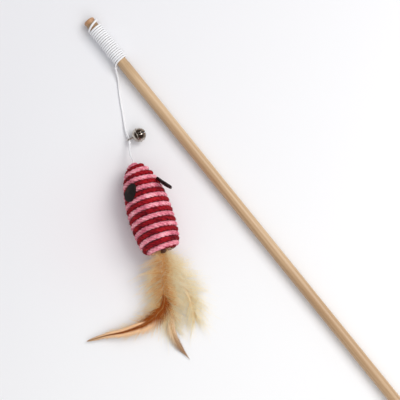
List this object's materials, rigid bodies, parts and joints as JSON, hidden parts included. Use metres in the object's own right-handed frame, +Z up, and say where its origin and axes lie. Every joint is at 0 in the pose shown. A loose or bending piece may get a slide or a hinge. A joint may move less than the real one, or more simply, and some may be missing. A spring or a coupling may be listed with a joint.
{
  "type": "cat teaser wand",
  "caption": "Cat teaser wand lying flat: a wooden dowel with a bound white cord, a small bell, and a rope-wound toy mouse with leather ears and a feather tail",
  "frame": {"origin": "centre of the dowel's butt face", "axes": "+X along the dowel from the butt to the tip, +Z up from the table, the mouse lies on the +Y side"},
  "size_m": [0.4, 0.1478, 0.0314],
  "materials": {
    "wood": "sanded, unvarnished",
    "cord": "smooth elastic cord",
    "glue": "set glue",
    "nickel": "nickel plated",
    "steel": "bare",
    "core": "matt",
    "pink_rope": "twisted paper rope",
    "red_rope": "twisted paper rope",
    "leather": "dark, slightly glossy",
    "brown_feather": "feather",
    "cream_feather": "down"
  },
  "bodies": {
    "wand": {"rod": "wood", "wrap_glue": "glue", "cord_wrap": "cord"},
    "hitch": {"exit_knot": "cord"},
    "line": {"cord": "cord", "bell_knot": "cord"},
    "bell": {"bell_loop": "nickel", "bell_cap": "nickel", "bell_petals": "nickel"},
    "pellet": {"bell_pellet": "steel"},
    "mouse": {"nose_tie": "cord", "anchor_knot": "cord", "mouse_core": "core", "rope_pink": "pink_rope", "rope_red": "red_rope", "ear_left": "leather", "ear_right": "leather", "tail_plug": "glue", "hackle_long": "brown_feather", "hackle_short": "brown_feather", "plume_right": "cream_feather", "plume_low": "cream_feather"}
  },
  "joints": [
    {"name": "line_swing", "type": "hinge", "parent": "wand", "child": "hitch", "pos_m": [0.36163, 0.00604, -0.00117], "axis": [0, 0, -1], "range_deg": [-8, 60]},
    {"name": "line_lift", "type": "hinge", "parent": "hitch", "child": "line", "pos_m": [0.36163, 0.00604, -0.00117], "axis": [0.4777, 0.8785, 0], "range_deg": [0, 70]},
    {"name": "bell_turn", "type": "hinge", "parent": "line", "child": "bell", "pos_m": [0.3159, 0.0302, -0.0017], "axis": [-0.8652, 0.4132, 0.2841], "range_deg": [0, 180]},
    {"name": "pellet_bounce", "type": "slide", "parent": "bell", "child": "pellet", "axis": [0, 0, 1], "range_m": [0, 0.0055]},
    {"name": "mouse_swing", "type": "hinge", "parent": "line", "child": "mouse", "pos_m": [0.30207, 0.03855, 0.00693], "axis": [0, 0, -1], "range_deg": [-12, 60]}
  ]
}
